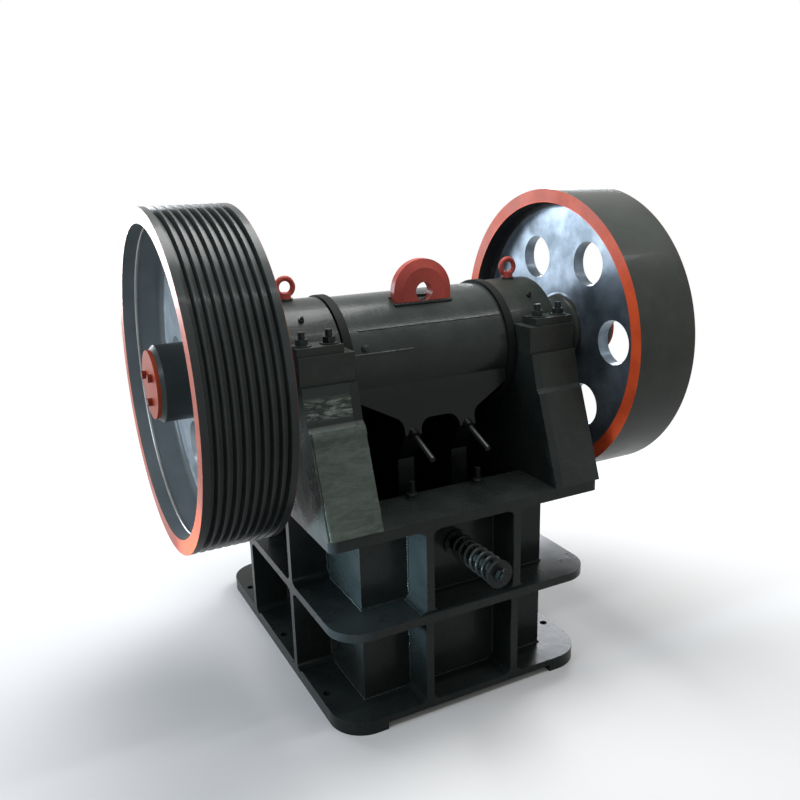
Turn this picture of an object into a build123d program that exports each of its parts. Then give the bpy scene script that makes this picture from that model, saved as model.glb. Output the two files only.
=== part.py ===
from build123d import *
import os
from math import acos, atan2, cos, degrees, hypot, sin

os.makedirs("parts", exist_ok=True)

# A single toggle jaw crusher on its own fixed base, in millimetres.
# X runs along the eccentric shaft, +Y points to the feed end, +Z is up.
# The origin lies on the floor in the middle of the anchor bolts.
# A reach is measured level from the shaft axis, and a drop down from it.

# Frame
base_length = 1290
base_rear_reach = 460
base_side_lip = 130
base_thickness = 50
base_end_thickness = 24
base_corner_radius = 120
anchor_wall_gap = 100
anchor_spacing_y = 430
anchor_hole_radius = 14
shaft_height = 1160
barrel_end_gap = 34
wall_thickness = 30
rear_wall_reach = 341
rear_wall_thickness = 40
front_wall_lip = 50
front_wall_thickness = 34
flange_side_lip = 138
flange_rear_reach = 480
flange_thickness = 30
flange_drop = 770
flange_corner_radius = 110
shelf_side_lip = 151
shelf_rear_reach = 470
shelf_front_reach = 345
shelf_drop = 440
shelf_thickness = 38
shelf_corner_radius = 24
ledge_lip = 51
rim_rise = 40
rim_side_lip = 70
rim_thickness = 28
rib_thickness = 28
rib_foot_width = 72
rib_foot_height = 3
rib_foot_radius = 20
end_rib_x = 169
side_rib_rear_reach = 45
side_rib_front_reach = 420
plain_clearance = 0.3
moving_clearance = 5

# Main bearings
bearing_wall_gap = 1
bearing_half_width = 77
housing_bore_radius = 150
cap_radius = 221
cap_flange_height = 92
cap_flange_reach = 300
cap_boss_height = 26
cap_boss_width = 80
cap_bolt_pair_width = 90
cap_bolt_reach = 250
cap_bolt_radius = 11
cap_bolt_stand = 44
cap_nut_height = 22
cap_nut_radius = 21
pedestal_top_reach = 312
pedestal_lip_reach = 356
pedestal_lip_drop = 130
pedestal_lip_depth = 14
cover_radius = 185
cover_thickness = 16
eye_seat_radius = 26
eye_seat_rise = 6
eye_collar_height = 10
eye_ring_radius = 28
eye_bar_radius = 9

# Rotor
shaft_radius = 75
shaft_collar_radius = 95
eccentric_radius = 105
eccentric_throw = 12
eccentric_end_gap = 16
wheel_radius = 540
wheel_side_gap = 94
sheave_width = 272
flywheel_width = 248
rim_depth = 48
web_thickness = 46
web_inset = 81
web_fillet = 24
hub_radius = 122
hub_chamfer = 12
hub_inner_length = 64
hub_stand = 4
web_hole_count = 6
web_hole_radius = 82
web_hole_circle_radius = 312
groove_count = 9
groove_pitch = 26
groove_top_width = 20
groove_side_angle = 72
groove_depth = 17
hub_cap_radius = 108
hub_cap_thickness = 12
hub_bolt_count = 3
hub_bolt_circle_radius = 54
hub_bolt_radius = 13
hub_bolt_rise = 14
hub_bolt_turn = 25

# Swing jaw
barrel_radius = 216
barrel_half_length = 296
barrel_bore_radius = 128
seal_ring_depth = 11
jaw_end_gap = 6
jaw_plate_thickness = 55
jaw_plate_top_drop = 20
jaw_plate_bottom_drop = 840
jaw_body_thickness = 80
jaw_tooth_count = 10
tooth_depth = 16
discharge_gap = 70
fixed_jaw_thickness = 50
fixed_jaw_bottom_drop = 870
cheek_thickness = 30
cheek_top_reach = 235
back_rib_half_gap = 75
back_rib_thickness = 62
back_rib_top_reach = 205
back_rib_top_drop = 54
back_rib_waist_reach = 196
back_rib_waist_drop = 330
back_rib_bottom_drop = 470
arch_drop = 180
arch_corner_radius = 42
skirt_end_drop = 100
edge_rib_thickness = 28
edge_rib_depth = 110
toggle_thickness = 44
toggle_end_radius = 32
toggle_side_gap = 40
toggle_front_drop = 775
toggle_rear_drop = 699
toggle_seat_stand = 155
toggle_seat_height = 126
toggle_open_gap = 13
block_side_gap = 20
block_top_drop = 636
block_height = 160
block_depth = 196
block_seat_stand = 12
stud_x = 130
stud_reach = 280
stud_radius = 10
stud_rise = 58
rod_drop = 610
rod_radius = 14
rod_hole_radius = 27
rod_lug_stand = 59
rod_lug_half_width = 36
rod_lug_height = 76
washer_reach = 604
washer_radius = 46
washer_thickness = 12
rod_nut_radius = 22
rod_nut_height = 18
rod_tail = 12
spring_radius = 37
spring_wire_radius = 6.5
spring_turns = 6.5
spring_open_gap = 12
spring_seat_thickness = 10
clamp_rod_reach = 256
clamp_rod_drop = 228
clamp_rod_length = 122
clamp_rod_radius = 10
clamp_boss_radius = 19
clamp_boss_length = 14
lug_x = 22
lug_rear_reach = 112
lug_radius = 110
lug_thickness = 40
lug_bevel_depth = 12
lug_bevel_angle = 68
lug_hole_radius = 32
lug_rise = 7

# Levels and places that follow from the sizes above
shaft_y = base_rear_reach - base_length / 2
wall_half_gap = barrel_half_length + barrel_end_gap
wall_outer = wall_half_gap + wall_thickness
base_half_width = wall_outer + base_side_lip
base_front_reach = base_length - base_rear_reach
base_top = base_thickness - shaft_height
flange_half_width = wall_outer + flange_side_lip
flange_top = -flange_drop
flange_bottom = flange_top - flange_thickness
shelf_half_width = wall_outer + shelf_side_lip
shelf_top = -shelf_drop
shelf_bottom = shelf_top - shelf_thickness
rim_half_width = wall_outer + rim_side_lip
rim_bottom = rim_rise - rim_thickness
rear_wall_inner = rear_wall_thickness - rear_wall_reach
front_wall_reach = base_front_reach - front_wall_lip
front_wall_inner = front_wall_reach - front_wall_thickness
fixed_jaw_face = front_wall_inner - fixed_jaw_thickness
ledge_front = ledge_lip + rear_wall_inner
bearing_x = wall_outer + bearing_wall_gap + bearing_half_width
cap_outer = bearing_x + bearing_half_width
wheel_gap = cap_outer + wheel_side_gap
hub_inner_reach = wheel_gap - hub_inner_length
hub_length = hub_inner_length + hub_stand
seal_ring_radius = barrel_radius + seal_ring_depth
eccentric_half_length = barrel_half_length - eccentric_end_gap
jaw_half_width = barrel_half_length - jaw_end_gap
toggle_half_width = jaw_half_width - toggle_side_gap
block_half_width = toggle_half_width + block_side_gap
jaw_face_out = barrel_radius + jaw_plate_thickness
jaw_back_out = barrel_radius - jaw_body_thickness
shaft_axis = Axis((0, shaft_y, shaft_height), (1, 0, 0))

# The jaw leans so far that its face ends the discharge gap before the fixed jaw
jaw_foot_reach = fixed_jaw_face - discharge_gap
lean = (acos(jaw_face_out / hypot(jaw_foot_reach, jaw_plate_bottom_drop))
        - atan2(jaw_plate_bottom_drop, jaw_foot_reach))


def keep(piece, name):
    """Label a finished piece and write its STEP file."""
    piece.part.label = name
    export_step(piece.part, f"parts/{name}.step")


def side_plane(x=0):
    """A plane across the shaft, centred on it: its x is along +Y and its y is up."""
    return Plane(origin=(x, shaft_y, shaft_height), x_dir=(0, 1, 0), z_dir=(1, 0, 0))


def level_plane(rise):
    """A level plane at a height above the shaft axis: its x is along +X and its y along +Y."""
    return Plane(origin=(0, shaft_y, shaft_height + rise), x_dir=(1, 0, 0), z_dir=(0, 0, 1))


def rear_plane(reach=0):
    """An upright plane that faces the rear at a reach ahead of the shaft: its x is along +X."""
    return Plane(origin=(0, shaft_y + reach, shaft_height), x_dir=(1, 0, 0), z_dir=(0, -1, 0))


def first_x(sign, inner, outer):
    """The lower X of a stretch from inner to outer on the left (-1) or the right (+1)."""
    return min(sign * inner, sign * outer)


def on_jaw(along, out):
    """A point of the swing jaw's side view: a distance down the jaw, and one out from the shaft."""
    return (out * cos(lean) + along * sin(lean), out * sin(lean) - along * cos(lean))


def jaw_along(rise, out):
    """How far down the jaw a line that lies that far out reaches a height."""
    return (out * sin(lean) - rise) / cos(lean)


def toothed_outline(half_width, back, valley, crest, tooth_count):
    """The section of a jaw plate: a flat back and a row of pointed teeth."""
    pitch = 2 * half_width / tooth_count
    points = [(half_width, back), (-half_width, back), (-half_width, valley)]
    for tooth in range(tooth_count):
        start = -half_width + tooth * pitch
        points.append((start + pitch / 2, crest))
        points.append((start + pitch, valley))
    return points


# Side walls with the lower half of each bearing seat
def make_side_wall(name, sign):
    with BuildPart() as wall:
        with BuildSketch(side_plane(first_x(sign, wall_half_gap, wall_outer))):
            with BuildLine():
                Polyline(
                    (-rear_wall_reach, base_top),
                    (front_wall_reach, base_top),
                    (front_wall_reach, rim_rise),
                    (cap_flange_reach + rim_rise, rim_rise),
                    (cap_flange_reach + plain_clearance, 0),
                    (-pedestal_top_reach, 0),
                    (-pedestal_lip_reach + pedestal_lip_depth, pedestal_lip_depth - pedestal_lip_drop),
                    (-pedestal_lip_reach, -pedestal_lip_drop),
                    (-shelf_rear_reach, shelf_top),
                    (-rear_wall_reach, shelf_top),
                    close=True,
                )
            make_face()
            Circle(housing_bore_radius, mode=Mode.SUBTRACT)
        extrude(amount=wall_thickness)
    keep(wall, name)


make_side_wall("side_wall_left", -1)
make_side_wall("side_wall_right", 1)

# Front wall behind the fixed jaw
with BuildPart() as front_wall:
    with BuildSketch(level_plane(base_top)):
        with Locations((0, front_wall_inner)):
            Rectangle(2 * wall_half_gap, front_wall_thickness, align=(Align.CENTER, Align.MIN))
    extrude(amount=rim_rise - base_top)
keep(front_wall, "front_wall")

# Rear wall with the hole for the tension rod
with BuildPart() as rear_wall:
    with BuildSketch(level_plane(base_top)):
        with Locations((0, -rear_wall_reach)):
            Rectangle(2 * wall_half_gap, rear_wall_thickness, align=(Align.CENTER, Align.MIN))
    extrude(amount=shelf_bottom - base_top)
    with BuildSketch(rear_plane(-rear_wall_reach)):
        with Locations((0, -rod_drop)):
            Circle(rod_hole_radius)
    extrude(amount=-rear_wall_thickness, mode=Mode.SUBTRACT)
keep(rear_wall, "rear_wall")


# Flanges round the frame: one plate along each side, and one across each end
def side_plates(level, inner, outer, rear, front, corner_radius):
    with BuildSketch(level_plane(level)) as plates:
        for sign in (-1, 1):
            with Locations((first_x(sign, inner, outer), -rear)):
                Rectangle(outer - inner, rear + front, align=(Align.MIN, Align.MIN))
        by_x = plates.vertices().group_by(Axis.X)
        fillet(by_x[0] + by_x[-1], corner_radius)
    return plates.sketch


def end_plate(level, half_width, start, end):
    with BuildSketch(level_plane(level)) as plate:
        with Locations((0, start)):
            Rectangle(2 * half_width, end - start, align=(Align.CENTER, Align.MIN))
    return plate.sketch


with BuildPart() as base_side_flanges:
    extrude(side_plates(-shaft_height, wall_half_gap, base_half_width, base_rear_reach,
                        base_front_reach, base_corner_radius), amount=base_thickness)
    with BuildSketch(Plane.XY):
        with GridLocations(2 * (wall_outer + anchor_wall_gap), anchor_spacing_y, 2, 3):
            Circle(anchor_hole_radius)
    extrude(amount=base_thickness, mode=Mode.SUBTRACT)
keep(base_side_flanges, "base_side_flanges")

with BuildPart() as base_end_flanges:
    end_level = base_top - base_end_thickness
    extrude(end_plate(end_level, wall_half_gap, -base_rear_reach, rear_wall_inner),
            amount=base_end_thickness)
    extrude(end_plate(end_level, wall_half_gap, front_wall_inner, base_front_reach),
            amount=base_end_thickness)
keep(base_end_flanges, "base_end_flanges")

with BuildPart() as middle_side_flanges:
    extrude(side_plates(flange_bottom, wall_outer, flange_half_width, flange_rear_reach,
                        base_front_reach, flange_corner_radius), amount=flange_thickness)
keep(middle_side_flanges, "middle_side_flanges")

with BuildPart() as middle_end_flanges:
    extrude(end_plate(flange_bottom, wall_outer, -flange_rear_reach, -rear_wall_reach),
            amount=flange_thickness)
    extrude(end_plate(flange_bottom, wall_outer, front_wall_reach, base_front_reach),
            amount=flange_thickness)
keep(middle_end_flanges, "middle_end_flanges")

with BuildPart() as bearing_shelves:
    extrude(side_plates(shelf_bottom, wall_outer, shelf_half_width, shelf_rear_reach,
                        shelf_front_reach, shelf_corner_radius), amount=shelf_thickness)
keep(bearing_shelves, "bearing_shelves")

with BuildPart() as feed_rim:
    extrude(side_plates(rim_bottom, wall_outer, rim_half_width, -cap_flange_reach - rim_rise,
                        base_front_reach, shelf_corner_radius), amount=rim_thickness)
    extrude(end_plate(rim_bottom, wall_outer, front_wall_reach, base_front_reach),
            amount=rim_thickness)
keep(feed_rim, "feed_rim")

# Rear ledge on top of the rear wall, bored for the two studs of the toggle block
with BuildPart() as rear_ledge:
    extrude(end_plate(shelf_bottom, wall_outer, -shelf_rear_reach, -rear_wall_reach),
            amount=shelf_thickness)
    extrude(end_plate(shelf_bottom, wall_half_gap, -rear_wall_reach, ledge_front),
            amount=shelf_thickness)
    with BuildSketch(level_plane(shelf_bottom)):
        with Locations((-stud_x, -stud_reach), (stud_x, -stud_reach)):
            Circle(stud_radius + plain_clearance)
    extrude(amount=shelf_thickness, mode=Mode.SUBTRACT)
keep(rear_ledge, "rear_ledge")


# Upright ribs between the flanges, with cast feet that curve out at both ends
def rib_section(plane, middle, bottom, top):
    with BuildSketch(plane) as rib:
        with Locations((middle, bottom)):
            Rectangle(rib_thickness, top - bottom, align=(Align.CENTER, Align.MIN))
            Rectangle(rib_foot_width, rib_foot_height, align=(Align.CENTER, Align.MIN))
        with Locations((middle, top)):
            Rectangle(rib_foot_width, rib_foot_height, align=(Align.CENTER, Align.MAX))
        corners = rib.vertices().filter_by(
            lambda corner: abs(abs(corner.X - middle) - rib_thickness / 2) < plain_clearance)
        fillet(corners, rib_foot_radius)
    return rib.sketch


def end_ribs(bottom, top, start, end):
    with BuildPart() as ribs:
        for middle in (-end_rib_x, end_rib_x):
            extrude(rib_section(rear_plane(end), middle, bottom, top), amount=end - start)
    return ribs.part


def side_rib(sign, reach, bottom, top, half_width):
    with BuildPart() as rib:
        extrude(rib_section(side_plane(first_x(sign, wall_outer, half_width)), reach, bottom, top),
                amount=half_width - wall_outer)
    return rib.part


with BuildPart() as rear_ribs:
    add(end_ribs(base_top, flange_bottom, -base_rear_reach, -rear_wall_reach))
    add(end_ribs(flange_top, shelf_bottom, -shelf_rear_reach, -rear_wall_reach))
keep(rear_ribs, "rear_ribs")

with BuildPart() as front_ribs:
    add(end_ribs(base_top, flange_bottom, front_wall_reach, base_front_reach))
    add(end_ribs(flange_top, rim_bottom, front_wall_reach, base_front_reach))
keep(front_ribs, "front_ribs")


def make_side_ribs(name, sign):
    with BuildPart() as ribs:
        for reach in (-side_rib_rear_reach, side_rib_front_reach):
            add(side_rib(sign, reach, base_top, flange_bottom, flange_half_width))
        add(side_rib(sign, -side_rib_rear_reach, flange_top, shelf_bottom, flange_half_width))
        add(side_rib(sign, side_rib_front_reach, flange_top, rim_bottom, rim_half_width))
    keep(ribs, name)


make_side_ribs("side_ribs_left", -1)
make_side_ribs("side_ribs_right", 1)


# Bearing pedestals: leaning cast blocks with the lower half of each bearing bore
def make_pedestal(name, sign):
    with BuildPart() as pedestal:
        with BuildSketch(side_plane(first_x(sign, wall_outer, cap_outer))):
            with BuildLine():
                Polyline(
                    (-shelf_rear_reach, shelf_top),
                    (shelf_front_reach, shelf_top),
                    (cap_flange_reach, 0),
                    (-pedestal_top_reach, 0),
                    (-pedestal_lip_reach + pedestal_lip_depth, pedestal_lip_depth - pedestal_lip_drop),
                    (-pedestal_lip_reach, -pedestal_lip_drop),
                    close=True,
                )
            make_face()
            Circle(housing_bore_radius, mode=Mode.SUBTRACT)
        extrude(amount=cap_outer - wall_outer)
    keep(pedestal, name)


make_pedestal("bearing_pedestal_left", -1)
make_pedestal("bearing_pedestal_right", 1)


# Bearing caps: a half round over each bearing, with a bolted foot before and behind
cap_boss_top = cap_flange_height + cap_boss_height


def make_cap(name, sign):
    with BuildPart() as cap:
        with BuildSketch(side_plane(first_x(sign, wall_half_gap, cap_outer))):
            Circle(cap_radius)
            Rectangle(2 * cap_flange_reach, cap_flange_height, align=(Align.CENTER, Align.MIN))
            Circle(housing_bore_radius, mode=Mode.SUBTRACT)
            Rectangle(2 * cap_flange_reach, 2 * cap_radius, align=(Align.CENTER, Align.MAX),
                      mode=Mode.SUBTRACT)
        extrude(amount=cap_outer - wall_half_gap)
        with BuildSketch(level_plane(0)):
            with GridLocations(cap_bolt_pair_width, 2 * cap_bolt_reach, 1, 2):
                with Locations((sign * bearing_x, 0)):
                    Rectangle(2 * bearing_half_width, cap_boss_width)
        extrude(amount=cap_boss_top)
        with BuildSketch(level_plane(0)):
            with Locations((sign * bearing_x, 0)):
                Circle(eye_seat_radius)
        extrude(amount=cap_radius + eye_seat_rise)
        with BuildSketch(side_plane(first_x(sign, wall_half_gap, cap_outer))):
            Circle(housing_bore_radius)
        extrude(amount=cap_outer - wall_half_gap, mode=Mode.SUBTRACT)
    keep(cap, name)


make_cap("bearing_cap_left", -1)
make_cap("bearing_cap_right", 1)


# Cap bolts: a nut on each boss and the end of its stud
def make_cap_bolts(name, sign):
    with BuildPart() as bolts:
        with BuildSketch(level_plane(cap_boss_top)):
            with Locations((sign * bearing_x, 0)):
                with GridLocations(cap_bolt_pair_width, 2 * cap_bolt_reach, 2, 2):
                    RegularPolygon(cap_nut_radius, 6)
        extrude(amount=cap_nut_height)
        with BuildSketch(level_plane(cap_boss_top)):
            with Locations((sign * bearing_x, 0)):
                with GridLocations(cap_bolt_pair_width, 2 * cap_bolt_reach, 2, 2):
                    Circle(cap_bolt_radius)
        extrude(amount=cap_bolt_stand)
    keep(bolts, name)


make_cap_bolts("cap_bolts_left", -1)
make_cap_bolts("cap_bolts_right", 1)


# Eye bolts on top of the caps
def make_eye_bolt(name, sign):
    collar_level = cap_radius + eye_seat_rise
    ring_level = collar_level + eye_collar_height + eye_ring_radius
    with BuildPart() as eye:
        with BuildSketch(level_plane(collar_level)):
            with Locations((sign * bearing_x, 0)):
                Circle(eye_seat_radius - eye_seat_rise)
        extrude(amount=eye_collar_height + eye_bar_radius)
        with BuildSketch(side_plane(sign * bearing_x)):
            with Locations((0, ring_level + eye_ring_radius)):
                Circle(eye_bar_radius)
        ring_axis = Axis((sign * bearing_x, shaft_y, shaft_height + ring_level), (0, 1, 0))
        revolve(axis=ring_axis)
    keep(eye, name)


make_eye_bolt("eye_bolt_left", -1)
make_eye_bolt("eye_bolt_right", 1)


# Main bearings with their outer covers
def make_bearing(name, sign):
    with BuildPart() as bearing:
        with BuildSketch(side_plane(first_x(sign, wall_half_gap + moving_clearance, cap_outer))):
            Circle(housing_bore_radius - plain_clearance)
        extrude(amount=cap_outer - wall_half_gap - moving_clearance)
        with BuildSketch(side_plane(first_x(sign, cap_outer, cap_outer + cover_thickness))):
            Circle(cover_radius)
        extrude(amount=cover_thickness)
        with BuildSketch(side_plane(first_x(sign, wall_half_gap, wheel_gap))):
            Circle(shaft_radius + plain_clearance)
        extrude(amount=wheel_gap - wall_half_gap, mode=Mode.SUBTRACT)
    keep(bearing, name)


make_bearing("main_bearing_left", -1)
make_bearing("main_bearing_right", 1)

# Fixed jaw plate with upright teeth
with BuildPart() as fixed_jaw_plate:
    with BuildSketch(level_plane(-fixed_jaw_bottom_drop)):
        with BuildLine():
            Polyline(*toothed_outline(wall_half_gap - cheek_thickness, front_wall_inner,
                                      fixed_jaw_face + tooth_depth, fixed_jaw_face,
                                      jaw_tooth_count), close=True)
        make_face()
    extrude(amount=fixed_jaw_bottom_drop + rim_bottom)
keep(fixed_jaw_plate, "fixed_jaw_plate")


# Cheek plates along the side walls of the crushing chamber
def make_cheek_plate(name, sign):
    with BuildPart() as cheek:
        with BuildSketch(side_plane(first_x(sign, wall_half_gap - cheek_thickness, wall_half_gap))):
            with BuildLine():
                Polyline(
                    (cheek_top_reach, rim_bottom),
                    (front_wall_inner, rim_bottom),
                    (front_wall_inner, -fixed_jaw_bottom_drop),
                    on_jaw(jaw_along(-fixed_jaw_bottom_drop, barrel_radius), barrel_radius),
                    close=True,
                )
            make_face()
        extrude(amount=cheek_thickness)
    keep(cheek, name)


make_cheek_plate("cheek_plate_left", -1)
make_cheek_plate("cheek_plate_right", 1)

# Toggle block on the rear wall, with the seat for the toggle's rear end
toggle_rear_end = (rear_wall_inner + block_depth + block_seat_stand, -toggle_rear_drop)
with BuildPart() as toggle_block:
    with BuildSketch(side_plane(-block_half_width)):
        with Locations((rear_wall_inner, -block_top_drop)):
            Rectangle(block_depth, block_height, align=(Align.MIN, Align.MAX))
        with Locations(toggle_rear_end):
            Circle(toggle_end_radius + toggle_open_gap, mode=Mode.SUBTRACT)
    extrude(amount=2 * block_half_width)
keep(toggle_block, "toggle_block")

# Adjusting studs that rise from the toggle block through the ledge
with BuildPart() as adjusting_studs:
    with BuildSketch(level_plane(-block_top_drop)):
        with Locations((-stud_x, -stud_reach), (stud_x, -stud_reach)):
            Circle(stud_radius)
    extrude(amount=shelf_top + stud_rise + block_top_drop)
keep(adjusting_studs, "adjusting_studs")

# Spring seat ring on the rear wall
with BuildPart() as spring_seat:
    with BuildSketch(rear_plane(-rear_wall_reach)):
        with Locations((0, -rod_drop)):
            Circle(washer_radius)
            Circle(rod_hole_radius, mode=Mode.SUBTRACT)
    extrude(amount=spring_seat_thickness)
keep(spring_seat, "spring_seat")

# Eccentric shaft
with BuildPart() as eccentric_shaft:
    sheave_end = wheel_gap + sheave_width + hub_stand
    flywheel_end = wheel_gap + flywheel_width + hub_stand
    with BuildSketch(side_plane(-sheave_end)):
        Circle(shaft_radius)
    extrude(amount=sheave_end + flywheel_end)
    with BuildSketch(side_plane(-wall_half_gap)):
        Circle(shaft_collar_radius)
    extrude(amount=2 * wall_half_gap)
    with BuildSketch(side_plane(-eccentric_half_length)):
        with Locations((0, eccentric_throw)):
            Circle(eccentric_radius)
    extrude(amount=2 * eccentric_half_length)
keep(eccentric_shaft, "eccentric_shaft")


# Wheels: rim, web and hub turned about the shaft, and round holes in the web
def wheel_section(sign, width):
    hub_middle = sign * (hub_inner_reach + (width + hub_length) / 2)
    web_middle = sign * (wheel_gap + web_inset + web_thickness / 2)
    with BuildSketch(rear_plane()) as section:
        with Locations((sign * (wheel_gap + width / 2), wheel_radius)):
            Rectangle(width, rim_depth, align=(Align.CENTER, Align.MAX))
        with Locations((hub_middle, 0)):
            Rectangle(width + hub_length, hub_radius, align=(Align.CENTER, Align.MIN))
        with Locations((web_middle, 0)):
            Rectangle(web_thickness, wheel_radius - rim_depth / 2, align=(Align.CENTER, Align.MIN))
        beside_web = section.vertices().filter_by(
            lambda corner: abs(abs(corner.X - web_middle) - web_thickness / 2) < plain_clearance)
        fillet(beside_web, web_fillet)
        at_hub = section.vertices().filter_by(
            lambda corner: abs(corner.Y - hub_radius) < plain_clearance).sort_by(Axis.X)
        chamfer([at_hub[0], at_hub[-1]], hub_chamfer)
        with Locations((hub_middle, 0)):
            Rectangle(width + hub_length, shaft_radius + plain_clearance,
                      align=(Align.CENTER, Align.MIN), mode=Mode.SUBTRACT)
    return section.sketch


def web_holes(sign, width):
    with BuildSketch(side_plane(first_x(sign, wheel_gap, wheel_gap + width))) as holes:
        with PolarLocations(web_hole_circle_radius, web_hole_count):
            Circle(web_hole_radius)
    return holes.sketch


def belt_grooves():
    with BuildSketch(rear_plane()) as grooves:
        with Locations((-wheel_gap - sheave_width / 2, wheel_radius)):
            with GridLocations(groove_pitch, groove_pitch, groove_count, 1):
                Trapezoid(groove_top_width, groove_depth, groove_side_angle, rotation=180,
                          align=(Align.CENTER, Align.MIN))
    return grooves.sketch


with BuildPart() as sheave:
    revolve(wheel_section(-1, sheave_width), axis=shaft_axis)
    extrude(web_holes(-1, sheave_width), amount=sheave_width, mode=Mode.SUBTRACT)
    revolve(belt_grooves(), axis=shaft_axis, mode=Mode.SUBTRACT)
keep(sheave, "sheave")

with BuildPart() as flywheel:
    revolve(wheel_section(1, flywheel_width), axis=shaft_axis)
    extrude(web_holes(1, flywheel_width), amount=flywheel_width, mode=Mode.SUBTRACT)
keep(flywheel, "flywheel")


# Hub caps over the shaft ends, each with three bolt heads
def make_hub_cap(name, sign, width):
    cap_start = wheel_gap + width + hub_stand
    with BuildPart() as hub_cap:
        with BuildSketch(side_plane(sign * cap_start)):
            Circle(hub_cap_radius)
        extrude(amount=sign * hub_cap_thickness)
        with BuildSketch(side_plane(sign * (cap_start + hub_cap_thickness))):
            with PolarLocations(hub_bolt_circle_radius, hub_bolt_count, start_angle=hub_bolt_turn):
                RegularPolygon(hub_bolt_radius, 6)
        extrude(amount=sign * hub_bolt_rise)
    keep(hub_cap, name)


make_hub_cap("hub_cap_left", -1, sheave_width)
make_hub_cap("hub_cap_right", 1, flywheel_width)

# Swing jaw casting: a barrel round the shaft, a leaning body, an arched skirt on two back ribs
# and the toggle seat
jaw_bottom_along = jaw_along(-jaw_plate_bottom_drop, jaw_face_out)
toggle_seat_top = toggle_seat_height / 2 - toggle_front_drop
toggle_front_end = (on_jaw(jaw_along(-toggle_front_drop, jaw_back_out), jaw_back_out)[0]
                    - toggle_seat_stand, -toggle_front_drop)
rod_inner_reach = on_jaw(jaw_along(-rod_drop, jaw_back_out), jaw_back_out)[0] - rod_lug_stand


def clamp_plane(sign, stand):
    """A plane square to a clamp rod, at a distance out from the back rib that it comes through."""
    return Plane(origin=(sign * (back_rib_half_gap + back_rib_thickness / 2),
                         shaft_y - clamp_rod_reach - stand * cos(lean),
                         shaft_height - clamp_rod_drop - stand * sin(lean)),
                 x_dir=(1, 0, 0), z_dir=(0, -cos(lean), -sin(lean)))


with BuildPart() as pitman:
    with BuildSketch(side_plane(-jaw_half_width)):
        with BuildLine():
            Polyline(
                on_jaw(0, jaw_back_out),
                (-back_rib_top_reach, -back_rib_top_drop),
                (-clamp_rod_reach, -clamp_rod_drop),
                (-back_rib_waist_reach, -back_rib_waist_drop),
                (-back_rib_waist_reach, -back_rib_bottom_drop),
                (toggle_front_end[0], toggle_seat_top),
                on_jaw(jaw_along(toggle_seat_top, jaw_back_out), jaw_back_out),
                close=True,
            )
        make_face()
    extrude(amount=2 * jaw_half_width)
    arch_inner = back_rib_half_gap + back_rib_thickness
    with BuildSketch(rear_plane(base_front_reach)) as rear_arches:
        with Locations((0, -arch_drop)):
            Rectangle(2 * back_rib_half_gap, shaft_height, align=(Align.CENTER, Align.MAX))
        for sign in (-1, 1):
            with BuildLine():
                Polyline(
                    (sign * arch_inner, -shaft_height),
                    (sign * arch_inner, -arch_drop),
                    (sign * jaw_half_width, -skirt_end_drop),
                    (sign * wall_half_gap, -skirt_end_drop),
                    (sign * wall_half_gap, -shaft_height),
                    close=True,
                )
            make_face()
        fillet(rear_arches.vertices().filter_by(
            lambda corner: abs(corner.Y + arch_drop) < plain_clearance), arch_corner_radius)
    extrude(amount=base_length, mode=Mode.SUBTRACT)
    with BuildSketch(side_plane(-barrel_half_length)):
        Circle(barrel_radius)
    extrude(amount=2 * barrel_half_length)
    with BuildSketch(side_plane(-jaw_half_width)):
        with BuildLine():
            Polyline(
                on_jaw(0, jaw_back_out),
                on_jaw(0, barrel_radius),
                on_jaw(jaw_bottom_along, barrel_radius),
                on_jaw(jaw_bottom_along, jaw_back_out),
                close=True,
            )
        make_face()
    extrude(amount=2 * jaw_half_width)
    for sign in (-1, 1):
        with BuildSketch(side_plane(first_x(sign, jaw_half_width - edge_rib_thickness,
                                            jaw_half_width))):
            with BuildLine():
                Polyline(
                    on_jaw(edge_rib_depth, jaw_back_out),
                    on_jaw(2 * edge_rib_depth, jaw_back_out - edge_rib_depth),
                    on_jaw(jaw_bottom_along - 2 * edge_rib_depth, jaw_back_out - edge_rib_depth),
                    on_jaw(jaw_bottom_along - edge_rib_depth, jaw_back_out),
                    close=True,
                )
            make_face()
        extrude(amount=edge_rib_thickness)
    with BuildSketch(side_plane(-toggle_half_width)):
        with BuildLine():
            Polyline(
                (toggle_front_end[0], toggle_seat_top),
                on_jaw(jaw_along(toggle_seat_top, jaw_back_out), jaw_back_out),
                on_jaw(jaw_bottom_along, jaw_back_out),
                (toggle_front_end[0], toggle_seat_top - toggle_seat_height),
                close=True,
            )
        make_face()
    extrude(amount=2 * toggle_half_width)
    with BuildSketch(side_plane(-rod_lug_half_width)):
        with Locations((rod_inner_reach, -rod_drop)):
            Rectangle(2 * rod_lug_stand, rod_lug_height, align=(Align.MIN, Align.CENTER))
    extrude(amount=2 * rod_lug_half_width)
    with BuildSketch(side_plane(-toggle_half_width)):
        with Locations(toggle_front_end):
            Circle(toggle_end_radius + plain_clearance)
    extrude(amount=2 * toggle_half_width, mode=Mode.SUBTRACT)
    for sign in (-1, 1):
        with BuildSketch(clamp_plane(sign, clamp_boss_length)):
            Circle(clamp_boss_radius)
        extrude(amount=-clamp_boss_length - 2 * clamp_boss_radius)
    with BuildSketch(side_plane(-barrel_half_length)):
        Circle(barrel_bore_radius)
    extrude(amount=2 * barrel_half_length, mode=Mode.SUBTRACT)
keep(pitman, "pitman")

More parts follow.
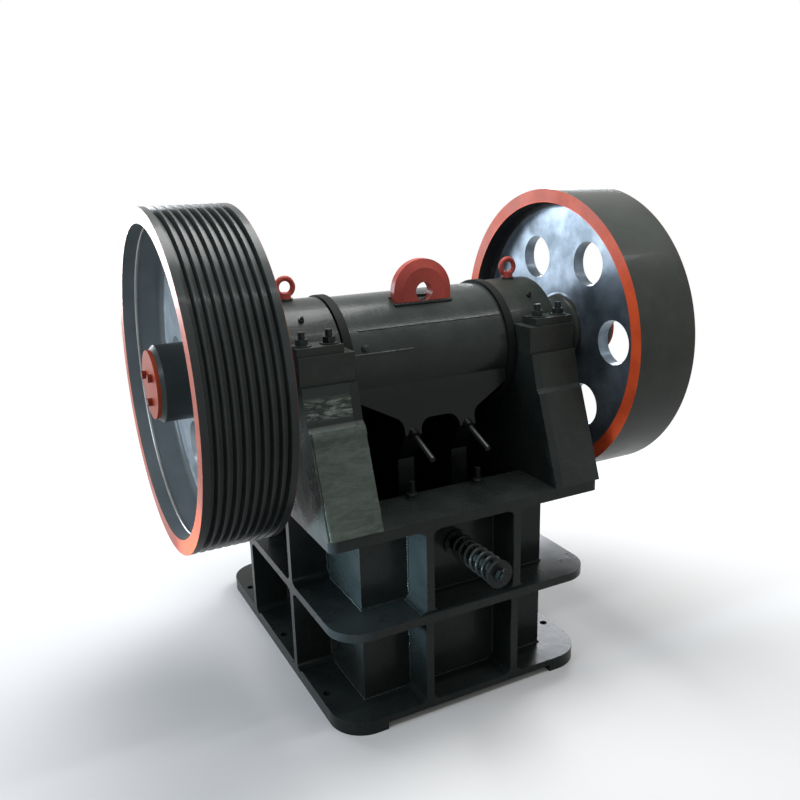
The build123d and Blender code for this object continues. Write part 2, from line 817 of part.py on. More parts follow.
# Movable jaw plate, toothed along its length
jaw_top_along = jaw_along(-jaw_plate_top_drop, jaw_face_out)
top_y, top_rise = on_jaw(jaw_top_along, 0)
with BuildPart() as movable_jaw_plate:
    with BuildSketch(Plane(origin=(0, shaft_y + top_y, shaft_height + top_rise), x_dir=(-1, 0, 0),
                           z_dir=(0, sin(lean), -cos(lean)))):
        with BuildLine():
            Polyline(*toothed_outline(jaw_half_width, barrel_radius, jaw_face_out - tooth_depth,
                                      jaw_face_out, jaw_tooth_count), close=True)
        make_face()
    extrude(amount=jaw_bottom_along - jaw_top_along)
keep(movable_jaw_plate, "movable_jaw_plate")

# Seal rings between the barrel and the bearing housings
with BuildPart() as seal_rings:
    for sign in (-1, 1):
        ring_outer = wall_half_gap - moving_clearance
        with BuildSketch(side_plane(first_x(sign, barrel_half_length, ring_outer))):
            Circle(seal_ring_radius)
            Circle(shaft_collar_radius + plain_clearance, mode=Mode.SUBTRACT)
        extrude(amount=ring_outer - barrel_half_length)
keep(seal_rings, "seal_rings")

# Lifting lug on top of the barrel, with a bevel round its rear face
lug_level = barrel_radius + lug_rise
lug_bevel_reach = lug_bevel_depth - lug_rear_reach
with BuildPart() as lifting_lug:
    with BuildSketch(rear_plane(lug_thickness - lug_rear_reach)) as lug_outline:
        with Locations((lug_x, lug_level)):
            Circle(lug_radius)
            Rectangle(2 * lug_radius, lug_level, align=(Align.CENTER, Align.MAX))
    extrude(amount=lug_thickness - lug_bevel_depth)
    with BuildSketch(rear_plane(lug_bevel_reach)):
        add(lug_outline.sketch_local)
    extrude(amount=lug_bevel_depth, taper=lug_bevel_angle)
    with BuildSketch(rear_plane(lug_thickness - lug_rear_reach)):
        with Locations((lug_x, lug_level)):
            Circle(lug_hole_radius)
    extrude(amount=lug_thickness, mode=Mode.SUBTRACT)
    with BuildSketch(side_plane(lug_x - lug_radius)):
        Circle(barrel_radius)
        Rectangle(2 * barrel_radius, barrel_radius, align=(Align.CENTER, Align.MAX))
    extrude(amount=2 * lug_radius, mode=Mode.SUBTRACT)
keep(lifting_lug, "lifting_lug")

# Clamp rods of the movable jaw plate, which come out of the back ribs
with BuildPart() as clamp_rods:
    for sign in (-1, 1):
        with BuildSketch(clamp_plane(sign, clamp_boss_length)):
            Circle(clamp_rod_radius)
        extrude(amount=clamp_rod_length)
keep(clamp_rods, "clamp_rods")

# Tension rod from the swing jaw out through the rear wall
washer_outer = washer_reach + washer_thickness
with BuildPart() as tension_rod:
    with BuildSketch(rear_plane(rod_inner_reach)):
        with Locations((0, -rod_drop)):
            Circle(rod_radius)
    extrude(amount=rod_inner_reach + washer_outer + rod_nut_height + rod_tail)
keep(tension_rod, "tension_rod")

# Washer and nut that hold the spring on the rod
with BuildPart() as spring_washer:
    with BuildSketch(rear_plane(-washer_reach)):
        with Locations((0, -rod_drop)):
            Circle(washer_radius)
    extrude(amount=washer_thickness)
    with BuildSketch(rear_plane(-washer_outer)):
        with Locations((0, -rod_drop)):
            RegularPolygon(rod_nut_radius, 6)
    extrude(amount=rod_nut_height)
    with BuildSketch(rear_plane(-washer_reach)):
        with Locations((0, -rod_drop)):
            Circle(rod_radius + plain_clearance)
    extrude(amount=washer_thickness + rod_nut_height, mode=Mode.SUBTRACT)
keep(spring_washer, "spring_washer")

# Tension spring between the rear wall and the washer
spring_inner_reach = rear_wall_reach + spring_seat_thickness + spring_open_gap
spring_length = washer_reach - spring_inner_reach - 2 * spring_wire_radius
spring_end = shaft_y - spring_inner_reach - spring_wire_radius
with BuildPart() as tension_spring:
    with BuildLine():
        coil = Helix(pitch=spring_length / spring_turns, height=spring_length, radius=spring_radius,
                     center=(0, spring_end, shaft_height - rod_drop), direction=(0, -1, 0))
    with BuildSketch(coil ^ 0):
        Circle(spring_wire_radius)
    sweep(path=coil, is_frenet=True)
keep(tension_spring, "tension_spring")

# Toggle plate between the swing jaw and the toggle block
with BuildPart() as toggle_plate:
    with BuildSketch(side_plane(-toggle_half_width)):
        with BuildLine(mode=Mode.PRIVATE):
            centre = Line(toggle_front_end, toggle_rear_end)
        toggle_turn = degrees(atan2(toggle_front_end[1] - toggle_rear_end[1],
                                    toggle_front_end[0] - toggle_rear_end[0]))
        with Locations(centre.center()):
            Rectangle(centre.length, toggle_thickness, rotation=toggle_turn)
        with Locations(centre @ 0, centre @ 1):
            Circle(toggle_end_radius)
    extrude(amount=2 * toggle_half_width)
keep(toggle_plate, "toggle_plate")
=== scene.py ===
import bpy
import math
from mathutils import Matrix, Vector


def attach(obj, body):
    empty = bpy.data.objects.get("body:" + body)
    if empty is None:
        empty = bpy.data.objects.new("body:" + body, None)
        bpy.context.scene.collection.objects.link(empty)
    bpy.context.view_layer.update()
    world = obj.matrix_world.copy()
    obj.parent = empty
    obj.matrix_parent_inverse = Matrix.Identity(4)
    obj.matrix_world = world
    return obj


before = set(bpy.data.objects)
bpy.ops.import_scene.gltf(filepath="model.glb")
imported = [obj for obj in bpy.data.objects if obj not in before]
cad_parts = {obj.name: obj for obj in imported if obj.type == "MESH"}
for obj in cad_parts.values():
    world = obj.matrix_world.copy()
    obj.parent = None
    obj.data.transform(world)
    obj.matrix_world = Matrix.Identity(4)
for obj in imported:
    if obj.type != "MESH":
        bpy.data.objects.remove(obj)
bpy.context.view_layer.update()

print("frame loaded")

# The shaft axis in the CAD frame, in metres: many places are counted from it
shaftY = -0.185
shaftZ = 1.160


def srgb(hexText):
    values = []
    for start in (1, 3, 5):
        value = int(hexText[start:start + 2], 16) / 255
        values.append(value / 12.92 if value <= 0.04045 else ((value + 0.055) / 1.055) ** 2.4)
    return (values[0], values[1], values[2], 1.0)


# Adds one node: settings go to its properties or sockets, links come from other nodes
def addNode(owner, kind, settings={}, links={}):
    node = owner.node_tree.nodes.new(kind)
    for key, value in settings.items():
        if isinstance(key, str) and hasattr(node, key):
            setattr(node, key, value)
        else:
            node.inputs[key].default_value = value
    for key, source in links.items():
        owner.node_tree.links.new(source, node.inputs[key])
    return node


def newMaterial(name):
    material = bpy.data.materials.new(name)
    material.use_nodes = True
    material.node_tree.nodes.clear()
    return material


def finishMaterial(material, shader):
    output = addNode(material, "ShaderNodeOutputMaterial")
    material.node_tree.links.new(shader.outputs[0], output.inputs["Surface"])


# Stands behind the machine on the sheave side, at the photograph's viewing angle
cameraSettings = {"place": (-1.351, -2.771, 1.808), "azimuth": 27.164, "down": 15.942,
                  "roll": -1.394, "lens": 37.455, "sensor": 36}


def makeCamera(settings):
    turn, down, roll = (math.radians(settings[key]) for key in ("azimuth", "down", "roll"))
    forward = Vector((math.sin(turn) * math.cos(down), math.cos(turn) * math.cos(down),
                      -math.sin(down)))
    right = Vector((math.cos(turn), -math.sin(turn), 0))
    up = right.cross(forward)
    rolledRight = math.cos(roll) * right + math.sin(roll) * up
    rolledUp = -math.sin(roll) * right + math.cos(roll) * up
    bpy.ops.object.camera_add(location=settings["place"])
    camera = bpy.context.object
    camera.name = "photoCamera"
    camera.data.lens = settings["lens"]
    camera.data.sensor_width = settings["sensor"]
    axes = Matrix((rolledRight, rolledUp, -forward)).transposed().to_4x4()
    camera.matrix_world = Matrix.Translation(settings["place"]) @ axes
    bpy.context.scene.camera = camera


makeCamera(cameraSettings)
print("camera placed")

stageSettings = {
    "floorSize": 80,
    "floorColour": "#dededd",
    "floorBounce": "#8d8d8b",  # what the floor sends back up to the machine's matt surfaces
    "whiteFrom": 1.7,          # metres from the machine at which the floor starts to fade
    "whiteAt": 3.6,            # metres at which it is as white as the backdrop
    "skyStrength": 0.30,       # what reaches matt surfaces from all round
    "lamps": {
        "overhead": {"place": (0.2, 0.5, 4.4), "aim": (0.0, 0.0, 0.9), "size": (1.9, 1.9),
                     "power": 150, "colour": "#ffffff"},
        "farWindow": {"place": (2.8, 2.2, 1.95), "aim": (0.4, -0.5, 0.3), "size": (1.5, 0.9),
                      "power": 75, "colour": "#f4f8ff"},
        "leftWindow": {"place": (-3.9, -0.8, 2.9), "aim": (0.3, -0.2, 1.1), "size": (1.5, 1.5),
                       "power": 72, "colour": "#dceafa"},
        # a narrow level beam that passes under the sheave to the wall and ribs behind it:
        # its cone is in degrees, and soft is the share of the cone over which it fades
        "narrowLeft": {"place": (-3.0, -0.60, 0.78), "aim": (-0.2, -0.555, 0.55),
                       "radius": 0.15, "cone": 15, "soft": 0.7, "power": 1150,
                       "colour": "#c4e0f4"},
        "frontLeft": {"place": (-1.9, 3.4, 1.45), "aim": (0.5, -0.1, 1.3), "size": (1.6, 1.3),
                      "power": 70, "colour": "#f2f7ff"},
        # a long tube: its reflection runs along the barrel and over both wheels
        "tube": {"place": (1.65, -1.95, 4.3), "aim": (1.65, -0.2, 1.2), "size": (3.9, 0.16),
                 "power": 48, "colour": "#ffffff"},
        "behindCamera": {"place": (-0.6, -4.6, 3.0), "aim": (0.0, 0.0, 0.8), "size": (2.6, 2.6),
                         "power": 9, "colour": "#fffaf2"},
    },
}


def makeFloor(settings):
    bpy.ops.mesh.primitive_plane_add(size=settings["floorSize"])
    floor = bpy.context.object
    floor.name = "floor"
    paint = newMaterial("paleFloor")
    place = addNode(paint, "ShaderNodeTexCoord").outputs["Object"]
    distance = addNode(paint, "ShaderNodeVectorMath", {"operation": "LENGTH"}, {0: place})
    fade = addNode(paint, "ShaderNodeMapRange",
                   {"From Min": settings["whiteFrom"], "From Max": settings["whiteAt"],
                    "interpolation_type": "SMOOTHSTEP"}, {"Value": distance.outputs["Value"]})
    path = addNode(paint, "ShaderNodeLightPath")
    seen = addNode(paint, "ShaderNodeMath", {"operation": "MAXIMUM"},
                   {0: path.outputs["Is Camera Ray"], 1: path.outputs["Is Glossy Ray"]})
    fade = addNode(paint, "ShaderNodeMath", {"operation": "MULTIPLY"},
                   {0: fade.outputs[0], 1: seen.outputs[0]})
    tone = addNode(paint, "ShaderNodeMix",
                   {"data_type": "RGBA", 6: srgb(settings["floorColour"]),
                    7: srgb(settings["floorBounce"])}, {"Factor": path.outputs["Is Diffuse Ray"]})
    diffuse = addNode(paint, "ShaderNodeBsdfDiffuse", {}, {"Color": tone.outputs[2]})
    white = addNode(paint, "ShaderNodeEmission", {"Color": (1, 1, 1, 1), "Strength": 1.0})
    finishMaterial(paint, addNode(paint, "ShaderNodeMixShader", {},
                                  {0: fade.outputs[0], 1: diffuse.outputs[0],
                                   2: white.outputs[0]}))
    floor.data.materials.append(paint)


def makeLamps(lamps):
    for name, lamp in lamps.items():
        aim = Vector(lamp["aim"]) - Vector(lamp["place"])
        kind = "SPOT" if "cone" in lamp else "AREA"
        bpy.ops.object.light_add(type=kind, location=lamp["place"],
                                 rotation=aim.to_track_quat("-Z", "Y").to_euler())
        light = bpy.context.object
        light.name = name
        light.visible_camera = False
        if kind == "SPOT":
            light.data.shadow_soft_size = lamp["radius"]
            light.data.spot_size = math.radians(lamp["cone"])
            light.data.spot_blend = lamp["soft"]
        else:
            light.data.shape = "RECTANGLE"
            light.data.size, light.data.size_y = lamp["size"]
        light.data.energy = lamp["power"]
        light.data.color = srgb(lamp["colour"])[:3]


# White to the camera and in reflections, dim to matt surfaces
def makeSky(strength):
    world = bpy.data.worlds.new("studio")
    bpy.context.scene.world = world
    world.use_nodes = True
    world.node_tree.nodes.clear()
    path = addNode(world, "ShaderNodeLightPath")
    seen = addNode(world, "ShaderNodeMath", {"operation": "ADD", "use_clamp": True},
                   {0: path.outputs["Is Camera Ray"], 1: path.outputs["Is Glossy Ray"]})
    seen = addNode(world, "ShaderNodeMath", {"operation": "ADD", "use_clamp": True},
                   {0: seen.outputs[0], 1: path.outputs["Is Transmission Ray"]})
    light = addNode(world, "ShaderNodeMapRange", {"To Min": strength, "To Max": 1.0},
                    {"Value": seen.outputs[0]})
    sky = addNode(world, "ShaderNodeBackground", {"Color": (1, 1, 1, 1)},
                  {"Strength": light.outputs[0]})
    output = addNode(world, "ShaderNodeOutputWorld")
    world.node_tree.links.new(sky.outputs[0], output.inputs["Surface"])


makeFloor(stageSettings)
makeLamps(stageSettings["lamps"])
makeSky(stageSettings["skyStrength"])
bpy.context.scene.view_settings.view_transform = "Standard"
print("floor and light made")

# Machine enamels, brushed or sprayed over castings and flame-cut plate. Each is a dark gloss
# film that follows the waves of the filler (about 90 mm), the casting's grain (about 9 mm) and
# the brush marks (drawn 2 mm wide so that they show), with dust in a fine broken pattern.
# Places and depths are in metres
enamels = {
    "frame": {"name": "darkMachineEnamel", "light": "#272c2b", "dark": "#1b1f1e",
              "dust": "#333836", "dustShare": 0.10, "rough": (0.24, 0.34), "wave": 0.0018,
              "grain": 0.0004},
    "leftPedestal": {"name": "filledCastingEnamel", "light": "#4d5751", "dark": "#3a433e",
                     "dust": "#6b766f", "dustShare": 0.38, "rough": (0.22, 0.44),
                     "wave": 0.0030, "grain": 0.0007,
                     "filler": {"share": 0.34, "pale": "#7c877f", "plain": "#272e2b",
                                "rubbed": (1.036, 2.0), "rubbedSoft": 0.006,
                                "band": (1.066, 1.122), "bandSoft": 0.010,
                                "sides": (-0.5142, -0.3314), "sideSoft": 0.0004}},
    "rightPedestal": {"name": "castingEnamel", "light": "#2b302d", "dark": "#222623",
                      "dust": "#474e49", "dustShare": 0.25, "rough": (0.26, 0.42),
                      "wave": 0.0018, "grain": 0.0005,
                      "filler": {"share": 0.06, "pale": "#4c534e"}},
    "barrel": {"name": "barrelEnamel", "light": "#363c39", "dark": "#272c2a",
               "dust": "#444a47", "dustShare": 0.18, "rough": (0.20, 0.32), "wave": 0.0022,
               "grain": 0.0004,
               # painted shade, darkening the lower barrel towards its underside
               "undersideShade": {"unshadedFrom": 1.26, "fullBelow": 1.03, "share": 0.90, "colour": "#060808"}},
    "sheave": {"name": "sheavePaint", "light": "#363b3a", "dark": "#2a2e2d",
               "dust": "#454b48", "dustShare": 0.20, "rough": (0.28, 0.40), "wave": 0.0004,
               "grain": 0.0001},
    "flywheel": {"name": "flywheelPaint", "light": "#3e423e", "dark": "#30332f",
                 "dust": "#4c504b", "dustShare": 0.20, "rough": (0.30, 0.42), "wave": 0.0004,
                 "grain": 0.0001},
    "bolts": {"name": "blackFastenerEnamel", "light": "#252928", "dark": "#141716",
              "dust": "#424845", "dustShare": 0.25, "rough": (0.24, 0.42), "wave": 0.0002,
              "grain": 0.0002},
    "red": {"name": "redEnamel", "light": "#b75248", "dark": "#913b33",
            "dust": "#7a4a40", "dustShare": 0.40, "rough": (0.28, 0.50), "wave": 0.0012,
            "grain": 0.0005},
    "hubCaps": {"name": "hubCapEnamel", "light": "#ad4529", "dark": "#903822",
                "dust": "#8a3826", "dustShare": 0.28, "rough": (0.30, 0.48), "wave": 0.0003,
                "grain": 0.0002,
                "heads": {"plate": (-0.8975, 0.8735), "soft": 0.0005, "colour": "#7a2f22"}},
    # painted highlight: a pale tone on the mould seams stands in for the light along their crests
    "seams": {"name": "rubbedSeamEnamel", "light": "#77807a", "dark": "#4a514d",
              "dust": "#8d958f", "dustShare": 0.45, "rough": (0.22, 0.40), "wave": 0.0010,
              "grain": 0.0005},
}

# What all enamels share. Scales count patterns in a metre
enamelFilm = {"waveScale": 11.0, "grainScale": 110.0, "brushScale": 480.0, "brushDepth": 0.00012,
              "relief": 0.85, "blotchScale": 6.0, "dustScale": 22.0, "coat": 0.06,
              "coatRough": 0.12, "ior": 1.5, "specular": 0.12}


# 1 where the value lies between two limits, with a soft step at each
def between(material, value, low, high, soft):
    above = addNode(material, "ShaderNodeMapRange",
                    {"From Min": low - soft, "From Max": low + soft}, {"Value": value})
    below = addNode(material, "ShaderNodeMapRange",
                    {"From Min": high - soft, "From Max": high + soft,
                     "To Min": 1.0, "To Max": 0.0}, {"Value": value})
    return addNode(material, "ShaderNodeMath", {"operation": "MULTIPLY"},
                   {0: above.outputs[0], 1: below.outputs[0]}).outputs[0]


# The coat's waves, grain and brush marks as one bump, and its blotchy colour under dust
def enamelLayers(material, choice, film, place):
    normal = None
    for scale, depth in ((film["waveScale"], choice["wave"]),
                         (film["grainScale"], choice["grain"]),
                         (film["brushScale"], film["brushDepth"])):
        relief = addNode(material, "ShaderNodeTexNoise", {"Scale": scale, "Detail": 2.5},
                         {"Vector": place})
        links = {"Height": relief.outputs["Fac"]}
        if normal:
            links["Normal"] = normal
        normal = addNode(material, "ShaderNodeBump",
                         {"Distance": depth, "Strength": film["relief"]}, links).outputs[0]
    blotch = addNode(material, "ShaderNodeTexNoise",
                     {"Scale": film["blotchScale"], "Detail": 5.0, "Roughness": 0.62},
                     {"Vector": place}).outputs["Fac"]
    spread = addNode(material, "ShaderNodeMapRange", {"From Min": 0.30, "From Max": 0.72},
                     {"Value": blotch})
    paint = addNode(material, "ShaderNodeMix",
                    {"data_type": "RGBA", 6: srgb(choice["dark"]), 7: srgb(choice["light"])},
                    {"Factor": spread.outputs[0]})
    specks = addNode(material, "ShaderNodeTexNoise",
                     {"Scale": film["dustScale"], "Detail": 8.0, "Roughness": 0.68},
                     {"Vector": place})
    dust = addNode(material, "ShaderNodeMapRange",
                   {"From Min": 0.54, "From Max": 0.74, "To Max": choice["dustShare"]},
                   {"Value": specks.outputs["Fac"]})
    colour = addNode(material, "ShaderNodeMix", {"data_type": "RGBA", 7: srgb(choice["dust"])},
                     {"Factor": dust.outputs[0], 6: paint.outputs[2]})
    return colour.outputs[2], normal, blotch


def paintShader(material, choice, film, colour, normal, blotch):
    rough = addNode(material, "ShaderNodeMapRange",
                    {"From Min": 0.35, "From Max": 0.68, "To Min": choice["rough"][0],
                     "To Max": choice["rough"][1]}, {"Value": blotch})
    return addNode(material, "ShaderNodeBsdfPrincipled",
                   {"Coat Weight": film["coat"], "Coat Roughness": film["coatRough"],
                    "IOR": film["ior"], "Specular IOR Level": film["specular"]},
                   {"Base Color": colour, "Roughness": rough.outputs[0], "Normal": normal})


# Painted shade: the coat is darkened towards the bottom of the barrel, most at its underside
def addPaintedUndersideShade(material, undersideShade, height, colour):
    share = addNode(material, "ShaderNodeMapRange",
                    {"From Min": undersideShade["fullBelow"], "From Max": undersideShade["unshadedFrom"],
                     "To Min": undersideShade["share"], "To Max": 0.0,
                     "interpolation_type": "SMOOTHSTEP"}, {"Value": height})
    return addNode(material, "ShaderNodeMix", {"data_type": "RGBA", 7: srgb(undersideShade["colour"])},
                   {"Factor": share.outputs[0], 6: colour}).outputs[2]


# The bolt heads stand beyond the plate and are a darker, older red
def addHeads(material, heads, across, colour):
    plate = between(material, across, *heads["plate"], heads["soft"])
    return addNode(material, "ShaderNodeMix", {"data_type": "RGBA", 6: srgb(heads["colour"])},
                   {"Factor": plate, 7: colour}).outputs[2]


# Above the lip the filler was rubbed off: plain dark coat, and one broken pale band
def rubFiller(material, filler, height, strokes, colour, share):
    rubbed = between(material, height, *filler["rubbed"], filler["rubbedSoft"])
    colour = addNode(material, "ShaderNodeMix", {"data_type": "RGBA", 7: srgb(filler["plain"])},
                     {"Factor": rubbed, 6: colour}).outputs[2]
    band = between(material, height, *filler["band"], filler["bandSoft"])
    broken = addNode(material, "ShaderNodeMapRange", {"From Min": 0.47, "From Max": 0.60},
                     {"Value": strokes})
    band = addNode(material, "ShaderNodeMath", {"operation": "MULTIPLY"},
                   {0: band, 1: broken.outputs[0]})
    kept = addNode(material, "ShaderNodeMath", {"operation": "SUBTRACT", 0: 1.0}, {1: rubbed})
    share = addNode(material, "ShaderNodeMath", {"operation": "MULTIPLY"},
                    {0: share, 1: kept.outputs[0]})
    share = addNode(material, "ShaderNodeMath", {"operation": "ADD", "use_clamp": True},
                    {0: share.outputs[0], 1: band.outputs[0]})
    return colour, share.outputs[0]


# Level strokes of filler under the paint, about 20 mm high and 80 mm long, swirled
def addFiller(material, filler, place, parts, colour, normal):
    stretched = addNode(material, "ShaderNodeMapping", {"Scale": (12.0, 12.0, 48.0)},
                        {"Vector": place})
    strokes = addNode(material, "ShaderNodeTexNoise",
                      {"Scale": 1.0, "Detail": 8.0, "Roughness": 0.68, "Distortion": 0.9},
                      {"Vector": stretched.outputs[0]}).outputs["Fac"]
    share = addNode(material, "ShaderNodeMapRange",
                    {"From Min": 0.42, "From Max": 0.70, "To Max": filler["share"]},
                    {"Value": strokes}).outputs[0]
    if "rubbed" in filler:
        colour, share = rubFiller(material, filler, parts["Z"], strokes, colour, share)
    colour = addNode(material, "ShaderNodeMix", {"data_type": "RGBA", 7: srgb(filler["pale"])},
                     {"Factor": share, 6: colour}).outputs[2]
    if "sides" in filler:
        filled = between(material, parts["X"], *filler["sides"], filler["sideSoft"])
        colour = addNode(material, "ShaderNodeMix",
                         {"data_type": "RGBA", 6: srgb(filler["plain"])},
                         {"Factor": filled, 7: colour}).outputs[2]
    normal = addNode(material, "ShaderNodeBump", {"Distance": 0.0014, "Strength": 0.7},
                     {"Height": strokes, "Normal": normal}).outputs[0]
    return colour, normal


def makeEnamel(choice, film):
    material = newMaterial(choice["name"])
    place = addNode(material, "ShaderNodeTexCoord").outputs["Object"]
    parts = addNode(material, "ShaderNodeSeparateXYZ", {}, {0: place}).outputs
    colour, normal, blotch = enamelLayers(material, choice, film, place)
    if "undersideShade" in choice:
        colour = addPaintedUndersideShade(material, choice["undersideShade"], parts["Z"], colour)
    if "heads" in choice:
        colour = addHeads(material, choice["heads"], parts["X"], colour)
    if "filler" in choice:
        colour, normal = addFiller(material, choice["filler"], place, parts, colour, normal)
    finishMaterial(material, paintShader(material, choice, film, colour, normal, blotch))
    return material


frameEnamel = makeEnamel(enamels["frame"], enamelFilm)
leftPedestalEnamel = makeEnamel(enamels["leftPedestal"], enamelFilm)
rightPedestalEnamel = makeEnamel(enamels["rightPedestal"], enamelFilm)
barrelEnamel = makeEnamel(enamels["barrel"], enamelFilm)
boltEnamel = makeEnamel(enamels["bolts"], enamelFilm)
redEnamel = makeEnamel(enamels["red"], enamelFilm)
hubCapEnamel = makeEnamel(enamels["hubCaps"], enamelFilm)
seamHighlightEnamel = makeEnamel(enamels["seams"], enamelFilm)

# Wheels: turned cast iron under the dark enamel, orange on the flat faces of the rim and a
# cloudy blue-grey primer with aluminium flake on the web and the rim's inner wall. The primer's
# tones are partly painted light: the sheave's web is near white as painted light in its shaded
# dish.
# Bands are radii from the shaft, and faces and web are places across, all in metres
wheelPaint = {"webBand": (0.146, 0.488), "wallBand": (0.456, 0.493), "rimBand": (0.486, 0.550),
              "ragged": 0.014, "raggedSoft": 0.004, "edgeSoft": 0.001, "faceDepth": 0.0004,
              "faceReach": 0.01, "faceSoft": 0.0002, "webDark": "#2c3236",
              "orangeLight": "#d4552f", "orangeDark": "#b84526", "lathe": 0.00012,
              # the web and wall tones are partly primer and partly painted light; the sheave's
              # pale ones stand in for light in its shaded dish
              "sheave": {"faces": (-0.881, -0.609), "web": (-0.740, -0.686),
                         "webPaleWithPaintedLight": "#dfeaf0", "webMiddleWithPaintedLight": "#bccad1", "wall": "#747b7d",
                         "flake": 0.20},
              "flywheel": {"faces": (0.609, 0.857), "web": (0.686, 0.740),
                           "webPaleWithPaintedLight": "#84929f", "webMiddleWithPaintedLight": "#57646e", "wall": "#474848",
                           "flake": 0.72}}


# The web's primer in light and dark clouds, its tones partly painted light, smutted in places, and
# the mask it lies in
def webLayers(material, settings, wheel, place, across, radius, blotch, clouds):
    # it ends raggedly at the hub and at the rim's inner wall
    ragged = addNode(material, "ShaderNodeTexNoise", {"Scale": 30.0, "Detail": 4.0},
                     {"Vector": place})
    shifted = addNode(material, "ShaderNodeMath",
                      {"operation": "MULTIPLY_ADD", 1: settings["ragged"]},
                      {0: ragged.outputs["Fac"], 2: radius})
    band = between(material, shifted.outputs[0], *settings["webBand"], settings["raggedSoft"])
    mask = addNode(material, "ShaderNodeMath", {"operation": "MULTIPLY"},
                   {0: band, 1: between(material, across, *wheel["web"], settings["edgeSoft"])})
    colour = addNode(material, "ShaderNodeMix",
                     {"data_type": "RGBA", 6: srgb(wheel["webMiddleWithPaintedLight"]),
                      7: srgb(wheel["webPaleWithPaintedLight"])}, {"Factor": clouds})
    smut = addNode(material, "ShaderNodeMapRange",
                   {"From Min": 0.52, "From Max": 0.72, "To Max": 0.45}, {"Value": blotch})
    colour = addNode(material, "ShaderNodeMix",
                     {"data_type": "RGBA", 7: srgb(settings["webDark"])},
                     {"Factor": smut.outputs[0], 6: colour.outputs[2]})
    return colour.outputs[2], mask.outputs[0]


# The flat faces of the rim, where the orange goes
def faceMask(material, settings, wheel, across, radius):
    low, high = wheel["faces"]
    depth, reach, soft = settings["faceDepth"], settings["faceReach"], settings["faceSoft"]
    faces = addNode(material, "ShaderNodeMath", {"operation": "MAXIMUM"},
                    {0: between(material, across, low - reach, low + depth, soft),
                     1: between(material, across, high - depth, high + reach, soft)})
    band = between(material, radius, *settings["rimBand"], settings["edgeSoft"])
    return addNode(material, "ShaderNodeMath", {"operation": "MULTIPLY"},
                   {0: faces.outputs[0], 1: band}).outputs[0]


def makeWheelPaint(settings, wheel, choice, film):
    material = newMaterial(choice["name"])
    place = addNode(material, "ShaderNodeTexCoord").outputs["Object"]
    across = addNode(material, "ShaderNodeSeparateXYZ", {}, {0: place}).outputs["X"]
    colour, normal, blotch = enamelLayers(material, choice, film, place)
    centred = addNode(material, "ShaderNodeVectorMath",
                      {"operation": "SUBTRACT", 1: (0, shaftY, shaftZ)}, {0: place})
    flat = addNode(material, "ShaderNodeVectorMath", {"operation": "MULTIPLY", 1: (0, 1, 1)},
                   {0: centred.outputs[0]})
    radius = addNode(material, "ShaderNodeVectorMath", {"operation": "LENGTH"},
                     {0: flat.outputs[0]}).outputs["Value"]
    # tool marks of the lathe, drawn 3 mm apart
    rings = addNode(material, "ShaderNodeTexNoise",
                    {"noise_dimensions": "1D", "Scale": 330.0, "Detail": 2.0}, {"W": across})
    turned = addNode(material, "ShaderNodeBump", {"Distance": settings["lathe"], "Strength": 0.6},
                     {"Height": rings.outputs["Fac"], "Normal": normal})
    cloudNoise = addNode(material, "ShaderNodeTexNoise",
                         {"Scale": 7.0, "Detail": 6.0, "Roughness": 0.55},
                         {"Vector": place}).outputs["Fac"]
    clouds = addNode(material, "ShaderNodeMapRange", {"From Min": 0.38, "From Max": 0.62},
                     {"Value": cloudNoise}).outputs[0]
    webColour, onWeb = webLayers(material, settings, wheel, place, across, radius, blotch, clouds)
    # the rim's inner wall has a thin, greyer coat of the same primer, its tone partly painted
    # light
    thin = addNode(material, "ShaderNodeMapRange",
                   {"From Min": 0.3, "From Max": 0.7, "To Min": 0.75, "To Max": 1.0},
                   {"Value": cloudNoise})
    wallBand = between(material, radius, *settings["wallBand"], settings["edgeSoft"])
    onWall = addNode(material, "ShaderNodeMath", {"operation": "MULTIPLY"},
                     {0: wallBand, 1: thin.outputs[0]}).outputs[0]
    withWall = addNode(material, "ShaderNodeMix", {"data_type": "RGBA", 7: srgb(wheel["wall"])},
                       {"Factor": onWall, 6: colour})
    withWeb = addNode(material, "ShaderNodeMix", {"data_type": "RGBA"},
                      {"Factor": onWeb, 6: withWall.outputs[2], 7: webColour})
    orange = addNode(material, "ShaderNodeMix",
                     {"data_type": "RGBA", 6: srgb(settings["orangeDark"]),
                      7: srgb(settings["orangeLight"])}, {"Factor": clouds})
    painted = addNode(material, "ShaderNodeMix", {"data_type": "RGBA"},
                      {"Factor": faceMask(material, settings, wheel, across, radius),
                       6: withWeb.outputs[2], 7: orange.outputs[2]})
    shader = paintShader(material, choice, film, painted.outputs[2], turned.outputs[0], blotch)
    # the flake in the primer mirrors the room softly
    primed = addNode(material, "ShaderNodeMath", {"operation": "MAXIMUM"}, {0: onWeb, 1: onWall})
    flake = addNode(material, "ShaderNodeMath", {"operation": "MULTIPLY", 1: wheel["flake"]},
                    {0: primed.outputs[0]})
    material.node_tree.links.new(flake.outputs[0], shader.inputs["Metallic"])
    finishMaterial(material, shader)
    return material


sheavePaint = makeWheelPaint(wheelPaint, wheelPaint["sheave"], enamels["sheave"], enamelFilm)
flywheelPaint = makeWheelPaint(wheelPaint, wheelPaint["flywheel"], enamels["flywheel"],
                               enamelFilm)

# Manganese steel jaw plates: bare sand castings, grey-brown and matt, with a 6 mm grain and
# rust in the hollows
jawSteel = {"name": "castManganeseSteel", "light": "#6d6862", "dark": "#47433f",
            "rust": "#6e4a34", "rustShare": 0.7, "patchScale": 14.0, "grainScale": 160.0,
            "grainDepth": 0.0008, "rough": (0.42, 0.72), "metal": (0.75, 0.1)}


